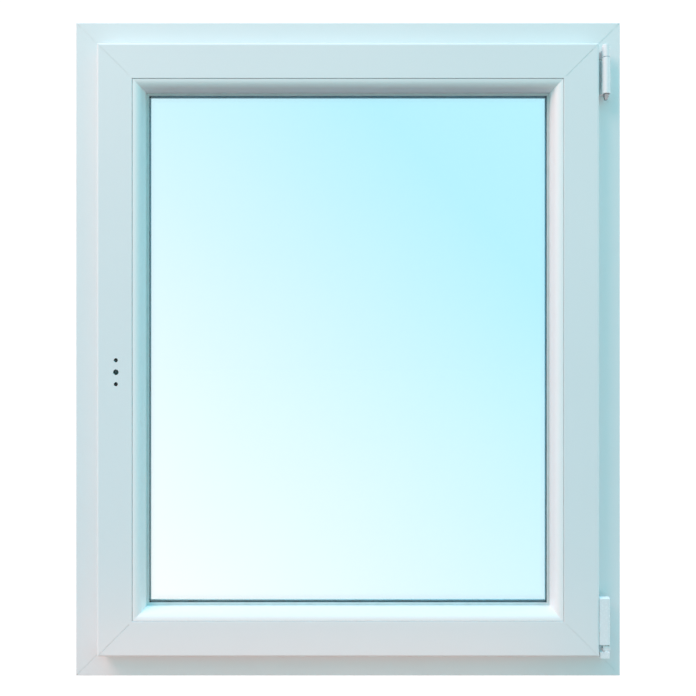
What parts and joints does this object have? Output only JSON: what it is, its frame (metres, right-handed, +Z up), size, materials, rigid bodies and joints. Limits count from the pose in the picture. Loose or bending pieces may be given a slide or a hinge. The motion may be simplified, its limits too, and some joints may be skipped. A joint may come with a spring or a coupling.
{
  "type": "casement window",
  "caption": "White plastic tilt-and-turn casement window, inward opening, hinged on the right, with double glazing, locking rods and holes for a handle.",
  "frame": {"origin": "centre of the frame's bottom face", "axes": "+Z up, +X to the right seen from the room, +Y towards the outside, so the room side faces -Y"},
  "size_m": [1, 0.1005, 1.2],
  "materials": {
    "white_profile": "satin-gloss extruded uPVC",
    "white_cover": "moulded white plastic",
    "galvanised_steel": "hot-dip galvanised",
    "hardware_steel": "silver passivated",
    "white_lacquered_steel": "powder-coated white",
    "pin_steel": "bright turned steel",
    "grey_seal": "light grey, soft",
    "clear_glass": "clear float glass",
    "spacer_metal": "dark, perforated",
    "butyl_sealant": "black, matt",
    "block_plastic": "matt"
  },
  "bodies": {
    "outer_frame": {"frame_sill": "white_profile", "frame_head": "white_profile", "frame_jamb_left": "white_profile", "frame_jamb_right": "white_profile", "frame_reinforcements": "galvanised_steel", "frame_seal": "grey_seal", "drain_caps": "white_cover", "side_keeps": "hardware_steel", "top_keep": "hardware_steel", "bottom_keeps": "hardware_steel", "keep_screws": "pin_steel", "stay_bearing": "white_lacquered_steel", "stay_bearing_sleeve": "white_cover", "stay_pin": "pin_steel", "pivot_rest": "white_lacquered_steel", "pivot_rest_cover": "white_cover", "hinge_screws": "pin_steel"},
    "hinge_knuckle": {"tilt_knuckle": "white_lacquered_steel"},
    "stay": {"stay_arm": "hardware_steel", "stay_slider": "hardware_steel", "stay_knuckle_cap": "white_cover"},
    "hub": {"spindle_hub": "hardware_steel"},
    "side_rod": {"lock_rod": "hardware_steel", "lock_rod_cams": "pin_steel"},
    "head_rod": {"top_rod": "hardware_steel", "top_rod_cams": "pin_steel"},
    "foot_rod": {"bottom_rod": "hardware_steel", "bottom_rod_cams": "pin_steel"},
    "sash": {"bead_gasket": "grey_seal", "bottom_faceplate": "hardware_steel", "corner_drive_bottom": "hardware_steel", "corner_drive_top": "hardware_steel", "corner_hinge": "white_lacquered_steel", "corner_hinge_cover": "white_cover", "edge_sealant": "butyl_sealant", "gearbox_case": "hardware_steel", "glazing_bead_bottom": "white_profile", "glazing_bead_left": "white_profile", "glazing_bead_right": "white_profile", "glazing_bead_top": "white_profile", "inner_pane": "clear_glass", "lock_faceplate": "hardware_steel", "outer_gasket": "grey_seal", "outer_pane": "clear_glass", "sash_bottom_rail": "white_profile", "sash_hinge_stile": "white_profile", "sash_lock_stile": "white_profile", "sash_reinforcements": "galvanised_steel", "sash_screws": "pin_steel", "sash_seal": "grey_seal", "sash_top_rail": "white_profile", "setting_blocks": "block_plastic", "spacer_bar": "spacer_metal", "tilt_pin": "pin_steel", "top_faceplate": "hardware_steel"}
  },
  "joints": [
    {"name": "sash_turn", "type": "hinge", "parent": "outer_frame", "child": "hinge_knuckle", "pos_m": [0.467, -0.052, 0.0615], "axis": [0, 0, 1], "range_deg": [0, 90]},
    {"name": "sash_tilt", "type": "hinge", "parent": "hinge_knuckle", "child": "sash", "pos_m": [0.467, -0.052, 0.0615], "axis": [1, 0, 0], "range_deg": [0, 7]},
    {"name": "stay_swing", "type": "hinge", "parent": "hinge_knuckle", "child": "stay", "pos_m": [0.467, -0.052, 1.1385], "axis": [0, 0, 1], "range_deg": [0, 17.9]},
    {"name": "spindle_turn", "type": "hinge", "parent": "sash", "child": "hub", "pos_m": [-0.417, -0.025, 0.56], "axis": [0, -1, 0], "range_deg": [-90, 90]},
    {"name": "lock_rod_slide", "type": "slide", "parent": "sash", "child": "side_rod", "axis": [0, 0, 1], "range_m": [-0.018, 0.018]},
    {"name": "top_rod_slide", "type": "slide", "parent": "sash", "child": "head_rod", "axis": [1, 0, 0], "range_m": [-0.018, 0.018]},
    {"name": "bottom_rod_slide", "type": "slide", "parent": "sash", "child": "foot_rod", "axis": [1, 0, 0], "range_m": [-0.018, 0.018]}
  ],
  "couplings": [
    {"joint": "stay_swing", "follows": "sash_tilt", "ratio": 2.553},
    {"joint": "spindle_turn", "follows": "lock_rod_slide", "rad_per_m": -87.266},
    {"joint": "top_rod_slide", "follows": "lock_rod_slide", "ratio": 1},
    {"joint": "bottom_rod_slide", "follows": "lock_rod_slide", "ratio": -1}
  ]
}
